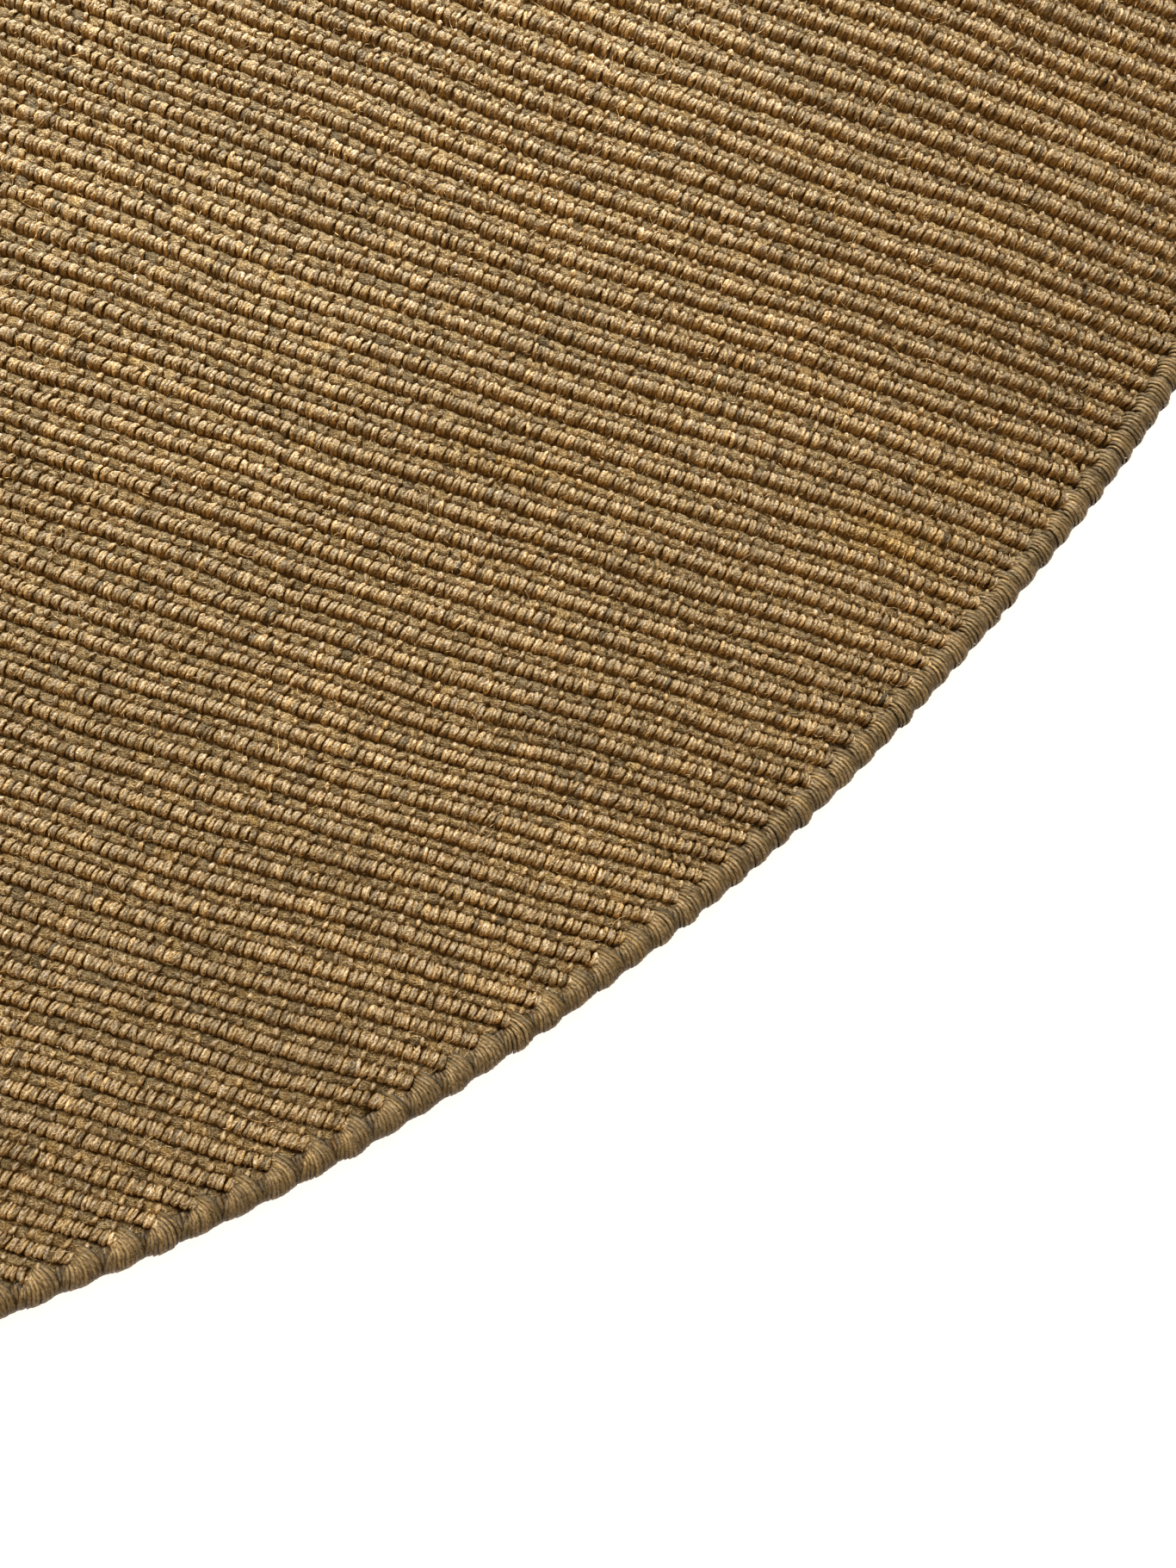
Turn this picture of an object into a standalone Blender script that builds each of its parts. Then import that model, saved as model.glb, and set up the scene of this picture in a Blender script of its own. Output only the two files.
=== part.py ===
"""A round, flat-woven jute rug: one woven round, and the overcast yarn edging wound over its rim.

Metres, +Z up. The origin is the middle of the underside, and the rug lies flat on Z = 0.
The thick ribs of the cloth run along X and its warp along Y.
"""

import math

import bmesh
import bpy

# Driving dimensions
RUG_DIAMETER = 1.500
FIELD_THICKNESS = 0.0070
EDGING_WIDTH = 0.0095
EDGING_HEIGHT = 0.0080
YARN_WALL = 0.0022
GAP = 0.0003

# The cloth is pressed thin where the edging grips it.
GRIPPED_FROM = 0.0018
GRIPPED_TO = 0.0054
FIELD_RIM_ROUNDING = 0.0012

# The edging is a soft cord: flat below, widest low on its side, highest near its outer edge.
WIDEST_HEIGHT = 0.0038
FOOT_ROUNDING = 0.0035
CROWN_INSET = 0.0045
LIP_HEIGHT = 0.0062

# The round was cut and wound by hand, so its outline wanders by a millimetre or so.
# An even number of lobes leaves the outline's middle on the origin.
# Columns: lobes round the rug, height of a lobe in metres, angle of the lobes' phase in degrees
OUTLINE_WAVES = (
    (16, 0.0008, 70.0),
    (24, 0.0006, -30.0),
)

SEGMENTS = 144
ARC_STEPS = 3
CROWN_STEPS = 4
SHARP_ANGLE = math.radians(40.0)

FIELD_COLOUR = (0.252, 0.156, 0.068, 1.0)
EDGING_COLOUR = (0.235, 0.150, 0.078, 1.0)
JUTE_ROUGHNESS = 0.85

RUG_RADIUS = RUG_DIAMETER / 2
LIP_RADIUS = RUG_RADIUS - EDGING_WIDTH
BODY_RADIUS = LIP_RADIUS - GAP
CAVITY_RADIUS = RUG_RADIUS - YARN_WALL


def outline_wave(angle):
    """How far the rug's outline stands outside its mean circle, at an angle round +Z."""
    wave = 0.0
    for lobes, height, phase in OUTLINE_WAVES:
        wave += height * math.cos(lobes * angle - math.radians(phase))
    return wave


def arc(centre, half_width, half_height, start, end, steps):
    """Points along an elliptical arc of the half-section, from one angle in degrees to another."""
    radius, height = centre
    points = []
    for step in range(steps + 1):
        angle = math.radians(start + (end - start) * step / steps)
        points.append((radius + half_width * math.cos(angle), height + half_height * math.sin(angle)))
    return points


def field_section():
    """The cloth's half-section, from the middle of its underside round to the middle of its top."""
    tongue_radius = CAVITY_RADIUS - GAP
    rim_radius = BODY_RADIUS - FIELD_RIM_ROUNDING
    rim_height = FIELD_THICKNESS - FIELD_RIM_ROUNDING
    section = [
        (0.0, 0.0),
        (BODY_RADIUS, 0.0),
        (BODY_RADIUS, GRIPPED_FROM),
        (tongue_radius, GRIPPED_FROM),
        (tongue_radius, GRIPPED_TO),
        (BODY_RADIUS, GRIPPED_TO),
    ]
    section += arc((rim_radius, rim_height), FIELD_RIM_ROUNDING, FIELD_RIM_ROUNDING, 0.0, 90.0, ARC_STEPS)
    section.append((0.0, FIELD_THICKNESS))
    return section


def edging_section():
    """The edging's closed half-section, a hook round the gripped margin of the cloth."""
    foot = (RUG_RADIUS - FOOT_ROUNDING, WIDEST_HEIGHT)
    side = (RUG_RADIUS - CROWN_INSET, WIDEST_HEIGHT)
    shoulder = (RUG_RADIUS - CROWN_INSET, LIP_HEIGHT)
    crown_rise = EDGING_HEIGHT - WIDEST_HEIGHT
    shoulder_width = EDGING_WIDTH - CROWN_INSET
    cavity_floor = GRIPPED_FROM - GAP
    cavity_ceiling = GRIPPED_TO + GAP
    section = [(LIP_RADIUS, 0.0)]
    section += arc(foot, FOOT_ROUNDING, WIDEST_HEIGHT, -90.0, 0.0, ARC_STEPS)
    section += arc(side, CROWN_INSET, crown_rise, 0.0, 90.0, CROWN_STEPS)[1:]
    section += arc(shoulder, shoulder_width, EDGING_HEIGHT - LIP_HEIGHT, 90.0, 180.0, ARC_STEPS)[1:]
    section += [
        (LIP_RADIUS, cavity_ceiling),
        (CAVITY_RADIUS, cavity_ceiling),
        (CAVITY_RADIUS, cavity_floor),
        (LIP_RADIUS, cavity_floor),
    ]
    return section


def wander(shape):
    """Moves each point off the axis in or out with the outline's wave."""
    for point in shape.verts:
        radius = math.hypot(point.co.x, point.co.y)
        if radius > GAP:
            stretch = 1.0 + outline_wave(math.atan2(point.co.y, point.co.x)) / radius
            point.co.x *= stretch
            point.co.y *= stretch


def turned_mesh(name, section, closed):
    """Spins a half-section round +Z into one solid; an open one starts and ends on the axis."""
    shape = bmesh.new()
    points = [shape.verts.new((radius, 0.0, height)) for radius, height in section]
    edges = [shape.edges.new(pair) for pair in zip(points, points[1:])]
    if closed:
        edges.append(shape.edges.new((points[-1], points[0])))
    bmesh.ops.spin(
        shape,
        geom=points + edges,
        axis=(0.0, 0.0, 1.0),
        cent=(0.0, 0.0, 0.0),
        angle=2 * math.pi,
        steps=SEGMENTS,
        use_merge=True,
    )
    bmesh.ops.remove_doubles(shape, verts=shape.verts, dist=GAP / 10)
    wander(shape)
    bmesh.ops.recalc_face_normals(shape, faces=shape.faces)
    mesh = bpy.data.meshes.new(name)
    shape.to_mesh(mesh)
    shape.free()
    mesh.shade_smooth()
    mesh.set_sharp_from_angle(angle=SHARP_ANGLE)
    return mesh


def jute(name, colour):
    """A matt, natural jute finish."""
    material = bpy.data.materials.new(name)
    material.use_nodes = True
    shader = material.node_tree.nodes["Principled BSDF"]
    shader.inputs["Base Color"].default_value = colour
    shader.inputs["Roughness"].default_value = JUTE_ROUGHNESS
    shader.inputs["Metallic"].default_value = 0.0
    return material


def add_piece(name, section, closed, colour):
    """One solid piece of the rug, as its own named object."""
    mesh = turned_mesh(name, section, closed)
    mesh.materials.append(jute(name, colour))
    piece = bpy.data.objects.new(name, mesh)
    bpy.context.collection.objects.link(piece)
    return piece


for old in list(bpy.data.objects):
    bpy.data.objects.remove(old)

add_piece("woven_field", field_section(), False, FIELD_COLOUR)
add_piece("overcast_edging", edging_section(), True, EDGING_COLOUR)
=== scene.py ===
"""The looks of a round, flat-woven jute rug with an overcast yarn edging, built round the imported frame."""

import math

import bmesh
import bpy
import numpy as np
from mathutils import Matrix, Vector


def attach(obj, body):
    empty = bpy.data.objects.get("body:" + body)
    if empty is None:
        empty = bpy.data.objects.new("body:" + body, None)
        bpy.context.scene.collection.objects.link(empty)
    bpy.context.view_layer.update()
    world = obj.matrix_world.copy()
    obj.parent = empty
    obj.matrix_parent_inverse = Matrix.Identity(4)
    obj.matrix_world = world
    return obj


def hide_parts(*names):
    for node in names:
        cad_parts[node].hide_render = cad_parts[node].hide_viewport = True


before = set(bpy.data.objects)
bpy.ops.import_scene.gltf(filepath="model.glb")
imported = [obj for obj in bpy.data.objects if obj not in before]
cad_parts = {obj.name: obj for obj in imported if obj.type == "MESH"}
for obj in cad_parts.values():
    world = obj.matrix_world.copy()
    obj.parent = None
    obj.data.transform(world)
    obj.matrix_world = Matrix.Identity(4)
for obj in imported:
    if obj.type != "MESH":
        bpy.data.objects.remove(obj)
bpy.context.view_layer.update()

# ---------------------------------------------------------------------------
# The view. The camera stands over the rug's near right margin and leans a
# little towards the far right, with the ribs running down to the right.
# ---------------------------------------------------------------------------
LOOKS_AT = Vector((0.571, -0.401, 0.0065))
CAMERA_DISTANCE = 0.3534
CAMERA_TILT = math.radians(7.56)
CAMERA_LEANS_TO = math.radians(50.4)
CAMERA_TURN = math.radians(17.1)
LENS_MM = 27.04
NEAREST_SEEN = 0.01

tilt_axis = Vector((math.sin(CAMERA_LEANS_TO), -math.cos(CAMERA_LEANS_TO), 0.0))
camera_turned = Matrix.Rotation(CAMERA_TILT, 3, tilt_axis) @ Matrix.Rotation(CAMERA_TURN, 3, "Z")
camera = bpy.data.objects.new("camera", bpy.data.cameras.new("camera"))
camera.data.lens = LENS_MM
camera.data.clip_start = NEAREST_SEEN
camera.matrix_world = camera_turned.to_4x4()
camera.location = LOOKS_AT + camera_turned @ Vector((0.0, 0.0, CAMERA_DISTANCE))
bpy.context.scene.collection.objects.link(camera)
bpy.context.scene.camera = camera

# ---------------------------------------------------------------------------
# The woven cloth: jute, a thick pick and a thin pick by turns, so that it
# stands in ribs along X on its face and its back. It is one round of cloth,
# and its cut rim is gripped inside the edging.
# ---------------------------------------------------------------------------
RIB_PITCH = 0.00792
PAIR_PITCH = 0.00515
STRANDS_IN_PITCH = 4
RUG_RADIUS = 0.750
CLOTH_RADIUS = 0.7455
LAST_ROW_INSET = 0.0003
GRIPPED_RADIUS = 0.7365
GRIP_WIDTH = 0.0050
RIB_CREST = 0.0070
FACE_GROOVE = 0.0042
BACK_CREST = 0.0003
FACE_PINCH = 0.0011
BACK_PINCH = 0.00088
RIBS = 188
SQUARES_ACROSS = 36

# A thick rib and the thin row beside it.
# Columns: place in the rib's repeat, height over the groove in metres, tone of the yarn there, dark in the
# grooves as painted shade, and how clearly the strands painted on it show
RIB_ROWS = (
    (-0.15, 0.0024, 1.05, 1.0),
    (0.15, 0.0024, 1.15, 1.0),
    (0.335, 0.0004, 0.40, 0.4),
    (0.500, 0.0013, 1.00, 0.8),
    (0.665, 0.0004, 0.28, 0.4),
)
# Under the separate yarns the cloth is sunk, flatter by a share of its ribs' height, and darkened with
# painted shade.
SHADE_UNDER_YARNS = (0.45, 0.34, 0.19)
SUNK_UNDER_YARNS = 0.0006
FLATTER_UNDER_YARNS = 0.45

# Slow waves that bend the ribs and bunch them.
# Columns: cycles per metre along X, cycles per metre along Y, size in metres, phase in degrees
RIB_WANDER = (
    (0.0, 6.2, 0.00075, -30.0),
    (3.3, 0.0, 0.00110, 49.0),
    (0.0, 8.3, 0.00040, 111.0),
    (0.0, 11.0, 0.00026, -5.0),
    (3.3, -6.2, 0.00038, -142.0),
    (8.5, 7.0, 0.00030, 20.0),
    (11.0, -9.0, 0.00022, 160.0),
    (0.0, 19.0, 0.00014, 60.0),
)
WARP_WANDER = (
    (0.0, 5.5, 0.0008, 10.0),
    (2.5, -3.0, 0.0006, 80.0),
    (6.0, 9.0, 0.0003, 200.0),
    (17.0, 2.0, 0.00012, 300.0),
)
# Each rib also strays by itself along its length, in a few short waves.
RIBS_EACH_WAY = 100
WAVES_IN_RIB = 3
BEAT_SIZE = 0.00019
BEAT_CYCLES = (6.0, 26.0)
weaving = np.random.default_rng(11)
beat_cycles = weaving.uniform(*BEAT_CYCLES, (2 * RIBS_EACH_WAY, WAVES_IN_RIB))
beat_phase = weaving.uniform(0.0, 2 * math.pi, (2 * RIBS_EACH_WAY, WAVES_IN_RIB))


def waves(table, x, y):
    """The sum of a table's waves at each point."""
    total = np.zeros(np.broadcast(x, y).shape)
    for along_x, along_y, size, phase in table:
        total += size * np.sin(2 * math.pi * (along_x * x + along_y * y) + math.radians(phase))
    return total


def beat(x, y):
    """How far each rib strays by itself, blended between one rib and the next."""
    x, y = np.broadcast_arrays(x, y)
    rib = y / RIB_PITCH
    below = np.floor(rib).astype(int)
    total = np.zeros(x.shape)
    for step, share in ((0, 1 - (rib - below)), (1, rib - below)):
        row = np.clip(below + step + RIBS_EACH_WAY, 0, 2 * RIBS_EACH_WAY - 1)
        for wave in range(WAVES_IN_RIB):
            total += share * np.sin(2 * math.pi * beat_cycles[row, wave] * x + beat_phase[row, wave])
    return BEAT_SIZE * total


def wandered(x, y):
    """Where the cloth's even lattice comes to lie after the weaving's unevenness."""
    return x + waves(WARP_WANDER, x, y), y + waves(RIB_WANDER, x, y) + beat(x, y)


# The part of the cloth whose yarns are modelled one by one, as corners round it. They go on whole for
# a margin past it and thin out over a fade beyond.
DETAILED = ((0.335, -0.229), (0.684, -0.090), (0.811, -0.575), (0.480, -0.653))
DETAIL_MARGIN = 0.006
DETAIL_FADE = 0.060


def detail_share(x, y):
    """1 over the detailed part and its margin, falling to 0 across the fade."""
    inside = np.full(np.broadcast(x, y).shape, 1.0)
    for here, there in zip(DETAILED, DETAILED[1:] + DETAILED[:1]):
        along_x, along_y = there[0] - here[0], there[1] - here[1]
        length = math.hypot(along_x, along_y)
        distance = -((x - here[0]) * -along_y + (y - here[1]) * along_x) / length
        inside = np.minimum(inside, 1 + (distance + DETAIL_MARGIN) / DETAIL_FADE)
    return np.clip(inside, 0, 1)


# How the jute's colour drifts over the cloth.
# Columns as for the waves, with a share of the brightness for the size
TONE_WAVES = (
    (4.0, 5.0, 0.04, 70.0),
    (9.0, -6.0, 0.03, 150.0),
    (3.0, 17.0, 0.04, 260.0),
    (14.0, 21.0, 0.03, 20.0),
)
# Places stained golden brown: x, y, half-lengths along X and Y in metres, and how strong
GOLDEN_PLACES = (
    (0.640, -0.298, 0.016, 0.006, 0.9),
    (0.655, -0.272, 0.010, 0.004, 0.6),
    (0.520, -0.315, 0.022, 0.005, 0.5),
)
GOLD_SPREAD = 0.015
STAIN_GOLD = 0.10
BLUE_LOST_TO_GOLD = 3.5
TONE_LIMITS = (0.2, 1.8)


def yarn_tones(random, count, x, y, spread):
    """Each yarn's own tone: light or dark, more golden or more grey, and golden in stained places."""
    light = random.normal(1.0, spread, (count, 1)) * (1 + waves(TONE_WAVES, x, y).reshape(count, 1))
    gold = random.normal(0.0, GOLD_SPREAD, (count, 1))
    for place_x, place_y, half_x, half_y, strength in GOLDEN_PLACES:
        near = np.exp(-((x - place_x) / half_x) ** 2 - ((y - place_y) / half_y) ** 2)
        gold = gold + STAIN_GOLD * strength * near.reshape(count, 1)
    tones = np.stack([light * (1 + gold), light, light * (1 - BLUE_LOST_TO_GOLD * gold)], axis=-1)
    return np.clip(tones, *TONE_LIMITS)


def arrays(shape):
    """A finished bmesh as arrays of its points and its faces; the bmesh is freed."""
    points = np.array([v.co[:] for v in shape.verts])
    faces = np.array([[v.index for v in f.verts] for f in shape.faces])
    shape.free()
    return points, faces


def joined(name, points, faces, material, tones, uv_across, uv_along, node=None):
    """Copies of a shape as one piece; points, tones and map are arrays of copies by points."""
    count, size = points.shape[:2]
    starts = np.arange(count) * size
    every_face = (faces[None] + starts[:, None, None]).reshape(-1, faces.shape[1])
    mesh = bpy.data.meshes.new(name)
    mesh.from_pydata(points.reshape(-1, 3).tolist(), [], every_face.tolist())
    mesh.materials.append(material)
    mesh.shade_smooth()
    rgba = np.ones((count, size, 4), np.float32)
    rgba[..., :tones.shape[-1]] = tones
    mesh.attributes.new("tone", "FLOAT_COLOR", "POINT").data.foreach_set("color", rgba.ravel())
    corner = np.empty(len(mesh.loops), np.int32)
    mesh.loops.foreach_get("vertex_index", corner)
    flat = np.zeros((count, size, 2), np.float32)
    flat[..., 0] = uv_across
    flat[..., 1] = uv_along
    mesh.uv_layers.new(name="yarn").uv.foreach_set("vector", flat.reshape(-1, 2)[corner].ravel())
    piece = bpy.data.objects.new(name, mesh)
    bpy.context.scene.collection.objects.link(piece)
    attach(piece, "root")
    if node:
        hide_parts(node)
    return piece


def added(tree, kind, inputs, **settings):
    """A new node of a kind, with each of its inputs linked to another node or set to a value."""
    node = tree.nodes.new(kind)
    for setting, value in settings.items():
        setattr(node, setting, value)
    for name, value in inputs.items():
        if isinstance(value, bpy.types.NodeSocket):
            tree.links.new(value, node.inputs[name])
        else:
            node.inputs[name].default_value = value
    return node


HAIR_HEADINGS = (12.0, 68.0, 118.0, 160.0)
HAIR_SPACING = 0.00042
HAIR_LENGTH = 0.0022
# A hair starts to show where the noise passes the first value, and is whole at the second.
HAIR_SHOWS = (0.54, 0.74)


def hairs_of(tree, most):
    """Fine hairs lying across the yarns in several directions, as a share from 0 to the most."""
    place = added(tree, "ShaderNodeTexCoord", {})
    hairs = None
    for heading in HAIR_HEADINGS:
        turn = added(tree, "ShaderNodeMapping", {
            "Rotation": (0.0, 0.0, math.radians(heading)),
            "Vector": place.outputs["Object"],
        })
        stretch = added(tree, "ShaderNodeMapping", {
            "Location": (heading, 0.0, 0.0),
            "Scale": (1 / HAIR_LENGTH, 1 / HAIR_SPACING, 0.0),
            "Vector": turn.outputs["Vector"],
        })
        noise = added(tree, "ShaderNodeTexNoise", {
            "Scale": 1.0,
            "Detail": 1.0,
            "Vector": stretch.outputs["Vector"],
        })
        share = added(tree, "ShaderNodeMapRange", {
            "From Min": HAIR_SHOWS[0],
            "From Max": HAIR_SHOWS[1],
            "To Max": most,
            "Value": noise.outputs["Fac"],
        }).outputs["Result"]
        if hairs is None:
            hairs = share
        else:
            hairs = added(tree, "ShaderNodeMath", {0: hairs, 1: share}, operation="MAXIMUM").outputs["Value"]
    return hairs


STREAK_DETAIL = 2.0
STREAK_HARSHNESS = 0.55
DARK_BELOW = 0.36
PALE_ABOVE = 0.62
HAIR_RELIEF = 0.20
JUTE_ROUGHNESS = 0.48
JUTE_SHINE = 0.40
JUTE_SHINE_TINT = (1.0, 0.94, 0.80, 1.0)


def jute(name, dark, pale, hair, hairy, streaks, twist, relief):
    """Jute yarn: streaks of fibre along the yarn's own map, with finer, paler hairs across them."""
    material = bpy.data.materials.new(name)
    material.use_nodes = True
    tree = material.node_tree
    uv = added(tree, "ShaderNodeUVMap", {}, uv_map="yarn")
    turn = added(tree, "ShaderNodeMapping", {
        "Rotation": (0.0, 0.0, math.radians(twist)),
        "Vector": uv.outputs["UV"],
    })
    stretch = added(tree, "ShaderNodeMapping", {
        "Scale": (*streaks, 1.0),
        "Vector": turn.outputs["Vector"],
    })
    fibres = added(tree, "ShaderNodeTexNoise", {
        "Scale": 1.0,
        "Detail": STREAK_DETAIL,
        "Roughness": STREAK_HARSHNESS,
        "Vector": stretch.outputs["Vector"],
    })
    ramp = added(tree, "ShaderNodeValToRGB", {"Fac": fibres.outputs["Fac"]})
    stops = ramp.color_ramp.elements
    stops[0].position = DARK_BELOW
    stops[0].color = (*dark, 1.0)
    stops[1].position = PALE_ABOVE
    stops[1].color = (*pale, 1.0)
    hairs = hairs_of(tree, hairy)
    haired = added(tree, "ShaderNodeMix", {
        "Factor": hairs,
        "A": ramp.outputs["Color"],
        "B": (*hair, 1.0),
    }, data_type="RGBA")
    tone = added(tree, "ShaderNodeAttribute", {}, attribute_name="tone")
    toned = added(tree, "ShaderNodeMix", {
        "Factor": 1.0,
        "A": haired.outputs["Result"],
        "B": tone.outputs["Color"],
    }, data_type="RGBA", blend_type="MULTIPLY")
    height = added(tree, "ShaderNodeMath", {
        0: hairs,
        1: HAIR_RELIEF,
        2: fibres.outputs["Fac"],
    }, operation="MULTIPLY_ADD")
    bump = added(tree, "ShaderNodeBump", {
        "Strength": 1.0,
        "Distance": relief,
        "Height": height.outputs["Value"],
    })
    shader = tree.nodes["Principled BSDF"]
    shader.inputs["Roughness"].default_value = JUTE_ROUGHNESS
    shader.inputs["Specular IOR Level"].default_value = JUTE_SHINE
    shader.inputs["Specular Tint"].default_value = JUTE_SHINE_TINT
    tree.links.new(toned.outputs["Result"], shader.inputs["Base Color"])
    tree.links.new(bump.outputs["Normal"], shader.inputs["Normal"])
    return material


# The jute of the warp and the ground. Streaks are per metre, across the yarn and along it; the twist
# is in degrees and the relief in metres.
WARP_JUTE = {
    "dark": (0.070, 0.030, 0.004),
    "pale": (0.300, 0.196, 0.072),
    "hair": (0.560, 0.440, 0.270),
    "hairy": 0.75,
    "streaks": (1600.0, 480.0),
    "twist": 18.0,
    "relief": 0.0009,
}
yarn = jute("jute_yarn", **WARP_JUTE)

# A yarn has a painted highlight, pale and whitish, on its ridge, and painted shade, deep brown, down its
# sides.
PAINTED_RIDGE_HIGHLIGHT = np.array([1.82, 2.24, 3.31])
PAINTED_SIDE_SHADE = np.array([0.98, 0.73, 0.34])
BEAD_TINT = np.array([1.03, 0.93, 0.84])
BEAD_TONES = (0.35, 1.65)
BEAD_UNEVENNESS = 0.45
# Distances from a bead's middle, in beads: the side lies past the first, the ridge within the second
BEAD_SIDE = 0.70
BEAD_RIDGE = 0.15


def beaded(material, pitch, drop, brightness):
    """Paints yarns side by side over each rib and each thin row, each with a painted highlight, painted shade
    and a bump, as far as the tone's alpha says.
    """
    tree = material.node_tree
    shader = tree.nodes["Principled BSDF"]
    uv = added(tree, "ShaderNodeUVMap", {}, uv_map="yarn")
    grid = added(tree, "ShaderNodeMapping", {
        "Location": (0.0, BEAD_UNEVENNESS / 2, 0.0),
        "Scale": (1 / pitch, 2 / RIB_PITCH, 1.0),
        "Vector": uv.outputs["UV"],
    })
    beads = added(tree, "ShaderNodeTexVoronoi", {
        "Scale": 1.0,
        "Randomness": BEAD_UNEVENNESS,
        "Vector": grid.outputs["Vector"],
    }, voronoi_dimensions="2D")
    ridge = added(tree, "ShaderNodeMapRange", {
        "From Min": BEAD_SIDE,
        "From Max": BEAD_RIDGE,
        "Value": beads.outputs["Distance"],
    }, interpolation_type="SMOOTHSTEP")
    # Each bead has a painted highlight on its ridge and painted shade at its sides
    laid = added(tree, "ShaderNodeMix", {
        "Factor": ridge.outputs["Result"],
        "A": (*(brightness * PAINTED_SIDE_SHADE), 1.0),
        "B": (*(brightness * PAINTED_RIDGE_HIGHLIGHT * BEAD_TINT), 1.0),
    }, data_type="RGBA")
    each = added(tree, "ShaderNodeMapRange", {
        "To Min": BEAD_TONES[0],
        "To Max": BEAD_TONES[1],
        "Value": beads.outputs["Color"],
    })
    varied = added(tree, "ShaderNodeVectorMath", {
        "Vector": laid.outputs["Result"],
        "Scale": each.outputs["Result"],
    }, operation="SCALE")
    tone = added(tree, "ShaderNodeAttribute", {}, attribute_name="tone")
    shown = added(tree, "ShaderNodeMix", {
        "Factor": tone.outputs["Alpha"],
        "A": (1.0, 1.0, 1.0, 1.0),
        "B": varied.outputs["Vector"],
    }, data_type="RGBA")
    colour = added(tree, "ShaderNodeMix", {
        "Factor": 1.0,
        "A": shader.inputs["Base Color"].links[0].from_socket,
        "B": shown.outputs["Result"],
    }, data_type="RGBA", blend_type="MULTIPLY")
    height = added(tree, "ShaderNodeMath", {
        0: ridge.outputs["Result"],
        1: tone.outputs["Alpha"],
    }, operation="MULTIPLY")
    bump = added(tree, "ShaderNodeBump", {
        "Distance": drop,
        "Height": height.outputs["Value"],
        "Normal": shader.inputs["Normal"].links[0].from_socket,
    })
    tree.links.new(colour.outputs["Result"], shader.inputs["Base Color"])
    tree.links.new(bump.outputs["Normal"], shader.inputs["Normal"])


# Off the detailed part the ground shows its yarns as painted beads, with painted highlights, painted shade
# and bumps
GROUND_BEAD_DROP = 0.0008
GROUND_BEAD_BRIGHTNESS = 0.88
ground = jute("jute_ground", **WARP_JUTE)
beaded(ground, PAIR_PITCH / STRANDS_IN_PITCH, GROUND_BEAD_DROP, GROUND_BEAD_BRIGHTNESS)

shape = bmesh.new()
bmesh.ops.create_grid(shape, x_segments=SQUARES_ACROSS, y_segments=len(RIB_ROWS) * RIBS, size=1.0)
raised = bmesh.ops.extrude_face_region(shape, geom=shape.faces[:], use_keep_orig=True)
raised_points = [part for part in raised["geom"] if isinstance(part, bmesh.types.BMVert)]
bmesh.ops.translate(shape, verts=raised_points, vec=(0.0, 0.0, 1.0))
bmesh.ops.recalc_face_normals(shape, faces=shape.faces)
slab, slab_faces = arrays(shape)

row = np.rint((slab[:, 1] + 1) / 2 * len(RIB_ROWS) * RIBS).astype(int)
rib_rows = np.array(RIB_ROWS)[row % len(RIB_ROWS)]
level_y = (row // len(RIB_ROWS) - RIBS // 2 + rib_rows[:, 0]) * RIB_PITCH
level_y = np.clip(level_y, LAST_ROW_INSET - CLOTH_RADIUS, CLOTH_RADIUS - LAST_ROW_INSET)
level_x = slab[:, 0] * np.sqrt(CLOTH_RADIUS ** 2 - level_y ** 2)
cloth_x, cloth_y = wandered(level_x, level_y)
gripped = np.clip((np.hypot(cloth_x, cloth_y) - GRIPPED_RADIUS) / GRIP_WIDTH, 0, 1)
# The ground lies hidden under whole yarns, and comes out over the first half of their fade.
under_yarns = np.clip(2 * detail_share(cloth_x, cloth_y) - 1, 0, 1)
face_height = FACE_GROOVE + rib_rows[:, 1] * (1 - FLATTER_UNDER_YARNS * under_yarns)
face_height = face_height - SUNK_UNDER_YARNS * under_yarns - FACE_PINCH * gripped
back_height = BACK_CREST + RIB_ROWS[0][1] - rib_rows[:, 1] + BACK_PINCH * gripped
on_face = slab[:, 2] > 0.5
cloth_z = np.where(on_face, face_height, back_height)
hidden = np.where(on_face, under_yarns, 0.0)
# The yarn's tone from the rib's rows, with painted shade in the grooves and under the separate yarns
cloth_tones = [rib_rows[:, 2] * (1 - hidden) + tone * hidden for tone in SHADE_UNDER_YARNS]
cloth_tones = np.stack(cloth_tones + [rib_rows[:, 3] * (1 - hidden)], axis=-1)
cloth = joined("woven_ground", np.column_stack([cloth_x, cloth_y, cloth_z])[None], slab_faces, ground,
               cloth_tones[None], level_x[None], level_y[None], "woven_field")

# ---------------------------------------------------------------------------
# The warp's floats: soft jute yarns in pairs, each of two strands side by
# side, arched over each thick pick and diving under the thin picks beside it.
# ---------------------------------------------------------------------------
FLOAT_PLACES = (0.265, 0.735)
STRAND_OFFSET = 0.00049
STRAND_HALF_WIDTH = 0.00074
STRAND_REACH = 0.00250
STRAND_FOOT = 0.0039
STRAND_LEAN = 0.14
STRANDS_END = RUG_RADIUS - 0.0082
STRAND_STRAY = 0.00010
STRAND_WIDTH_SPREAD = 0.10
STRAND_REACH_SPREAD = 0.07
STRAND_CREST_SPREAD = 0.00022
STRAND_LEAN_SPREAD = 0.12
STRAND_TONE_SPREAD = 0.22
# The ribs and the pairs of floats that the detailed part can hold, counted from the rug's middle
RIB_NUMBERS = (-95.0, 5.0)
PAIR_NUMBERS = (50.0, 160.0)
PIECES_PART_AT = -48

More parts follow.
